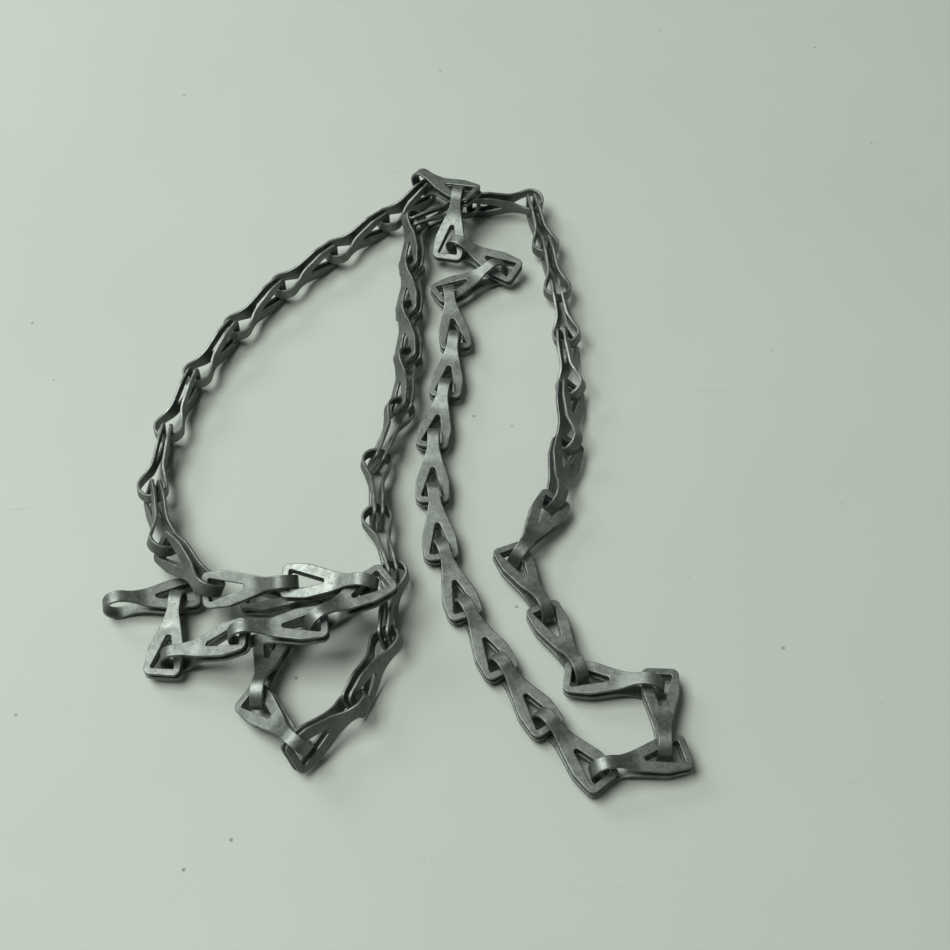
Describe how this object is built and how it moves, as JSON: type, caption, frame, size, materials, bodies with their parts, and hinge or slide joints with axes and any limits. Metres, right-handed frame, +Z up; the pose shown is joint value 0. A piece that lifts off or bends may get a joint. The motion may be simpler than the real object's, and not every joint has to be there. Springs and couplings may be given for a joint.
{
  "type": "sash chain",
  "caption": "Flat stamped sash chain: folded links with paired triangular eyes, each loop hooked round the eye before, lying in a dropped heap.",
  "frame": {"origin": "on the table under the middle of the laid-out chain's footprint", "axes": "+Z up from the table, +Y along the length of the laid-out chain, +X across it"},
  "size_m": [0.1756, 0.2542, 0.0231],
  "materials": {
    "galvanised": "dull galvanised, satin, rolled edges"
  },
  "bodies": {
    "link_01": {"link_01": "galvanised"},
    "link_02": {"link_02": "galvanised"},
    "link_03": {"link_03": "galvanised"},
    "link_04": {"link_04": "galvanised"},
    "link_05": {"link_05": "galvanised"},
    "link_06": {"link_06": "galvanised"},
    "link_07": {"link_07": "galvanised"},
    "link_08": {"link_08": "galvanised"},
    "link_09": {"link_09": "galvanised"},
    "link_10": {"link_10": "galvanised"},
    "link_11": {"link_11": "galvanised"},
    "link_12": {"link_12": "galvanised"},
    "link_13": {"link_13": "galvanised"},
    "link_14": {"link_14": "galvanised"},
    "link_15": {"link_15": "galvanised"},
    "link_16": {"link_16": "galvanised"},
    "link_17": {"link_17": "galvanised"},
    "link_18": {"link_18": "galvanised"},
    "link_19": {"link_19": "galvanised"},
    "link_20": {"link_20": "galvanised"},
    "link_21": {"link_21": "galvanised"},
    "link_22": {"link_22": "galvanised"},
    "link_23": {"link_23": "galvanised"},
    "link_24": {"link_24": "galvanised"},
    "link_25": {"link_25": "galvanised"},
    "link_26": {"link_26": "galvanised"},
    "link_27": {"link_27": "galvanised"},
    "link_28": {"link_28": "galvanised"},
    "link_29": {"link_29": "galvanised"},
    "link_30": {"link_30": "galvanised"},
    "link_31": {"link_31": "galvanised"},
    "link_32": {"link_32": "galvanised"},
    "link_33": {"link_33": "galvanised"},
    "link_34": {"link_34": "galvanised"},
    "link_35": {"link_35": "galvanised"},
    "link_36": {"link_36": "galvanised"},
    "link_37": {"link_37": "galvanised"},
    "link_38": {"link_38": "galvanised"},
    "link_39": {"link_39": "galvanised"},
    "link_40": {"link_40": "galvanised"},
    "link_41": {"link_41": "galvanised"},
    "link_42": {"link_42": "galvanised"},
    "link_43": {"link_43": "galvanised"},
    "link_44": {"link_44": "galvanised"},
    "link_45": {"link_45": "galvanised"},
    "link_46": {"link_46": "galvanised"},
    "link_47": {"link_47": "galvanised"},
    "link_48": {"link_48": "galvanised"},
    "link_49": {"link_49": "galvanised"},
    "link_50": {"link_50": "galvanised"},
    "link_51": {"link_51": "galvanised"},
    "link_52": {"link_52": "galvanised"},
    "link_53": {"link_53": "galvanised"},
    "link_54": {"link_54": "galvanised"},
    "link_55": {"link_55": "galvanised"},
    "link_56": {"link_56": "galvanised"},
    "link_57": {"link_57": "galvanised"}
  },
  "joints": [
    {"name": "hinge_01_02", "type": "hinge", "parent": "link_01", "child": "link_02", "pos_m": [-0.06485, -0.06525, 0.00514], "axis": [-0.9976, 0.0698, 0], "range_deg": [-90, 4]},
    {"name": "hinge_02_03", "type": "hinge", "parent": "link_02", "child": "link_03", "pos_m": [-0.06226, -0.08407, 0.00594], "axis": [0.0872, -0.9962, 0], "range_deg": [-26, 44]},
    {"name": "hinge_03_04", "type": "hinge", "parent": "link_03", "child": "link_04", "pos_m": [-0.04124, -0.08203, 0.01594], "axis": [0.1392, -0.9903, 0], "range_deg": [-58, 2]},
    {"name": "hinge_04_05", "type": "hinge", "parent": "link_04", "child": "link_05", "pos_m": [-0.01919, -0.07731, 0.01654], "axis": [-0.5878, 0.809, 0], "range_deg": [-2, 10]},
    {"name": "hinge_05_06", "type": "hinge", "parent": "link_05", "child": "link_06", "pos_m": [-0.00771, -0.06575, 0.01784], "axis": [-0.0763, -0.9676, -0.2406], "range_deg": [-6, 0.5]},
    {"name": "hinge_06_07", "type": "hinge", "parent": "link_06", "child": "link_07", "pos_m": [-0.03188, -0.0637, 0.01544], "axis": [-0.0933, 0.8645, 0.4938], "range_deg": [-2, 32]},
    {"name": "hinge_07_08", "type": "hinge", "parent": "link_07", "child": "link_08", "pos_m": [-0.05468, -0.06237, 0.01294], "axis": [0.4006, 0.5484, 0.734], "range_deg": [-8, 86]},
    {"name": "hinge_08_09", "type": "hinge", "parent": "link_08", "child": "link_09", "pos_m": [-0.07091, -0.04417, 0.00954], "axis": [-0.3475, -0.2466, -0.9047], "range_deg": [-8, 2]},
    {"name": "hinge_09_10", "type": "hinge", "parent": "link_09", "child": "link_10", "pos_m": [-0.07803, -0.02094, 0.00654], "axis": [-0.1067, -0.0273, -0.9939], "range_deg": [-90, 6]},
    {"name": "hinge_10_11", "type": "hinge", "parent": "link_10", "child": "link_11", "pos_m": [-0.07623, 0.00449, 0.00594], "axis": [0, 0, 1], "range_deg": [-8, 90]},
    {"name": "hinge_11_12", "type": "hinge", "parent": "link_11", "child": "link_12", "pos_m": [-0.06964, 0.02912, 0.00574], "axis": [0, 0, -1], "range_deg": [-90, 6]},
    {"name": "hinge_12_13", "type": "hinge", "parent": "link_12", "child": "link_13", "pos_m": [-0.05806, 0.05184, 0.00564], "axis": [0, 0, 1], "range_deg": [-5, 90]},
    {"name": "hinge_13_14", "type": "hinge", "parent": "link_13", "child": "link_14", "pos_m": [-0.04307, 0.07247, 0.00564], "axis": [0, 0, -1], "range_deg": [-90, 4]},
    {"name": "hinge_14_15", "type": "hinge", "parent": "link_14", "child": "link_15", "pos_m": [-0.02504, 0.0905, 0.00564], "axis": [0, 0, 1], "range_deg": [-3, 90]},
    {"name": "hinge_15_16", "type": "hinge", "parent": "link_15", "child": "link_16", "pos_m": [-0.00639, 0.10789, 0.00564], "axis": [0, 0, -1], "range_deg": [-90, 3]},
    {"name": "hinge_16_17", "type": "hinge", "parent": "link_16", "child": "link_17", "pos_m": [0.00666, 0.12238, 0.01124], "axis": [0.6018, 0.7986, 0], "range_deg": [-2, 16]},
    {"name": "hinge_17_18", "type": "hinge", "parent": "link_17", "child": "link_18", "pos_m": [0.01948, 0.10809, 0.01514], "axis": [0.9848, -0.1736, 0], "range_deg": [-1, 6]},
    {"name": "hinge_18_19", "type": "hinge", "parent": "link_18", "child": "link_19", "pos_m": [0.02026, 0.09065, 0.00724], "axis": [0.5055, 0.8453, 0.173], "range_deg": [-3, 5]},
    {"name": "hinge_19_20", "type": "hinge", "parent": "link_19", "child": "link_20", "pos_m": [0.03301, 0.07897, 0.00594], "axis": [-0.4804, 0.8743, -0.0697], "range_deg": [-8, 1]},
    {"name": "hinge_20_21", "type": "hinge", "parent": "link_20", "child": "link_21", "pos_m": [0.0166, 0.06611, 0.00514], "axis": [0.9925, 0.1219, 0], "range_deg": [-1.5, 1.5]},
    {"name": "hinge_21_22", "type": "hinge", "parent": "link_21", "child": "link_22", "pos_m": [0.01852, 0.04361, 0.00514], "axis": [0.9925, -0.1219, 0], "range_deg": [-1.5, 1]},
    {"name": "hinge_22_23", "type": "hinge", "parent": "link_22", "child": "link_23", "pos_m": [0.01559, 0.02124, 0.00514], "axis": [-0.9848, 0.1736, 0], "range_deg": [-0.5, 1.5]},
    {"name": "hinge_23_24", "type": "hinge", "parent": "link_23", "child": "link_24", "pos_m": [0.01226, -0.00109, 0.00514], "axis": [-1, 0, 0], "range_deg": [-0.5, 2]},
    {"name": "hinge_24_25", "type": "hinge", "parent": "link_24", "child": "link_25", "pos_m": [0.01268, -0.02366, 0.00514], "axis": [0.9925, 0.1219, 0], "range_deg": [-4, 0.5]},
    {"name": "hinge_25_26", "type": "hinge", "parent": "link_25", "child": "link_26", "pos_m": [0.01609, -0.04597, 0.00514], "axis": [-0.9511, -0.309, 0], "range_deg": [-0.5, 10]},
    {"name": "hinge_26_27", "type": "hinge", "parent": "link_26", "child": "link_27", "pos_m": [0.02358, -0.06727, 0.00514], "axis": [0.891, 0.454, 0], "range_deg": [-78, 0]},
    {"name": "hinge_27_28", "type": "hinge", "parent": "link_27", "child": "link_28", "pos_m": [0.0342, -0.08718, 0.00514], "axis": [-0.829, -0.5592, 0], "range_deg": [0, 90]},
    {"name": "hinge_28_29", "type": "hinge", "parent": "link_28", "child": "link_29", "pos_m": [0.04711, -0.10569, 0.00514], "axis": [0.766, 0.6428, 0], "range_deg": [-90, 0]},
    {"name": "hinge_29_30", "type": "hinge", "parent": "link_29", "child": "link_30", "pos_m": [0.06309, -0.11991, 0.00514], "axis": [0.2419, -0.9703, 0], "range_deg": [-2, 4]},
    {"name": "hinge_30_31", "type": "hinge", "parent": "link_30", "child": "link_31", "pos_m": [0.07978, -0.11173, 0.00514], "axis": [-0.9994, 0.0349, 0], "range_deg": [0, 90]},
    {"name": "hinge_31_32", "type": "hinge", "parent": "link_31", "child": "link_32", "pos_m": [0.07654, -0.09303, 0.00514], "axis": [0.1392, 0.9903, 0], "range_deg": [-90, 0.5]},
    {"name": "hinge_32_33", "type": "hinge", "parent": "link_32", "child": "link_33", "pos_m": [0.05588, -0.08719, 0.00524], "axis": [-0.9135, -0.4067, 0], "range_deg": [0, 78]},
    {"name": "hinge_33_34", "type": "hinge", "parent": "link_33", "child": "link_34", "pos_m": [0.04623, -0.06569, 0.00514], "axis": [0.9044, 0.421, -0.0698], "range_deg": [-90, 0]},
    {"name": "hinge_34_35", "type": "hinge", "parent": "link_34", "child": "link_35", "pos_m": [0.04021, -0.04522, 0.00554], "axis": [-0.8343, 0.4869, 0.2588], "range_deg": [-0.5, 1]},
    {"name": "hinge_35_36", "type": "hinge", "parent": "link_35", "child": "link_36", "pos_m": [0.05171, -0.02415, 0.00554], "axis": [-0.8352, 0.1928, 0.515], "range_deg": [-0.5, 0.5]},
    {"name": "hinge_36_37", "type": "hinge", "parent": "link_36", "child": "link_37", "pos_m": [0.05679, -0.00058, 0.00554], "axis": [-0.6794, 0.0594, 0.7314], "range_deg": [-1, 0.5]},
    {"name": "hinge_37_38", "type": "hinge", "parent": "link_37", "child": "link_38", "pos_m": [0.05872, 0.02344, 0.00574], "axis": [-0.4539, -0.0079, 0.891], "range_deg": [-1.5, 1]},
    {"name": "hinge_38_39", "type": "hinge", "parent": "link_38", "child": "link_39", "pos_m": [0.05824, 0.04753, 0.00574], "axis": [0.2068, 0.0217, -0.9781], "range_deg": [-2, 3]},
    {"name": "hinge_39_40", "type": "hinge", "parent": "link_39", "child": "link_40", "pos_m": [0.05581, 0.07051, 0.00564], "axis": [0, 0, 1], "range_deg": [-2, 2]},
    {"name": "hinge_40_41", "type": "hinge", "parent": "link_40", "child": "link_41", "pos_m": [0.0522, 0.09332, 0.00564], "axis": [0, 0, 1], "range_deg": [-2, 1.5]},
    {"name": "hinge_41_42", "type": "hinge", "parent": "link_41", "child": "link_42", "pos_m": [0.04717, 0.11699, 0.00614], "axis": [-0.0181, 0.2071, -0.9781], "range_deg": [-1.5, 2]},
    {"name": "hinge_42_43", "type": "hinge", "parent": "link_42", "child": "link_43", "pos_m": [0.02298, 0.11471, 0.00694], "axis": [-0.172, 0.4393, -0.8817], "range_deg": [-2, 1.5]},
    {"name": "hinge_43_44", "type": "hinge", "parent": "link_43", "child": "link_44", "pos_m": [0.00349, 0.10341, 0.00784], "axis": [-0.6129, 0.0901, -0.785], "range_deg": [-2, 1]},
    {"name": "hinge_44_45", "type": "hinge", "parent": "link_44", "child": "link_45", "pos_m": [0.00287, 0.08079, 0.00584], "axis": [0.6943, -0.0247, 0.7192], "range_deg": [-1, 5]},
    {"name": "hinge_45_46", "type": "hinge", "parent": "link_45", "child": "link_46", "pos_m": [0.00256, 0.05809, 0.00594], "axis": [-0.669, -0.0117, -0.7431], "range_deg": [-6, 1.5]},
    {"name": "hinge_46_47", "type": "hinge", "parent": "link_46", "child": "link_47", "pos_m": [0.0028, 0.03499, 0.00614], "axis": [-0.5571, 0.0487, -0.829], "range_deg": [-6, 2]},
    {"name": "hinge_47_48", "type": "hinge", "parent": "link_47", "child": "link_48", "pos_m": [0.00055, 0.012, 0.00604], "axis": [-0.3819, 0.1409, -0.9134], "range_deg": [-8, 3]},
    {"name": "hinge_48_49", "type": "hinge", "parent": "link_48", "child": "link_49", "pos_m": [-0.0064, -0.01014, 0.00574], "axis": [0.1734, 0.0091, 0.9848], "range_deg": [-5, 10]},
    {"name": "hinge_49_50", "type": "hinge", "parent": "link_49", "child": "link_50", "pos_m": [-0.00518, -0.03291, 0.00564], "axis": [0, 0, -1], "range_deg": [-16, 8]},
    {"name": "hinge_50_51", "type": "hinge", "parent": "link_50", "child": "link_51", "pos_m": [0.00059, -0.05445, 0.00584], "axis": [0.139, -0.0073, -0.9903], "range_deg": [-44, 14]},
    {"name": "hinge_51_52", "type": "hinge", "parent": "link_51", "child": "link_52", "pos_m": [-0.00069, -0.07842, 0.00584], "axis": [-0.3171, 0.1281, 0.9397], "range_deg": [-23, 90]},
    {"name": "hinge_52_53", "type": "hinge", "parent": "link_52", "child": "link_53", "pos_m": [-0.00952, -0.09987, 0.00634], "axis": [0.409, -0.3814, -0.829], "range_deg": [-23, 14]},
    {"name": "hinge_53_54", "type": "hinge", "parent": "link_53", "child": "link_54", "pos_m": [-0.02447, -0.11287, 0.00914], "axis": [-0.6105, -0.6849, -0.3978], "range_deg": [-4, 62]},
    {"name": "hinge_54_55", "type": "hinge", "parent": "link_54", "child": "link_55", "pos_m": [-0.03651, -0.09621, 0.00684], "axis": [-0.9929, 0.097, -0.0694], "range_deg": [-5, 54]},
    {"name": "hinge_55_56", "type": "hinge", "parent": "link_55", "child": "link_56", "pos_m": [-0.03165, -0.0758, 0.00514], "axis": [-0.6428, 0.766, 0], "range_deg": [-14, 32]},
    {"name": "hinge_56_57", "type": "hinge", "parent": "link_56", "child": "link_57", "pos_m": [-0.02118, -0.06297, 0.00514], "axis": [0.0872, 0.9962, 0], "range_deg": [-66, 3]}
  ]
}
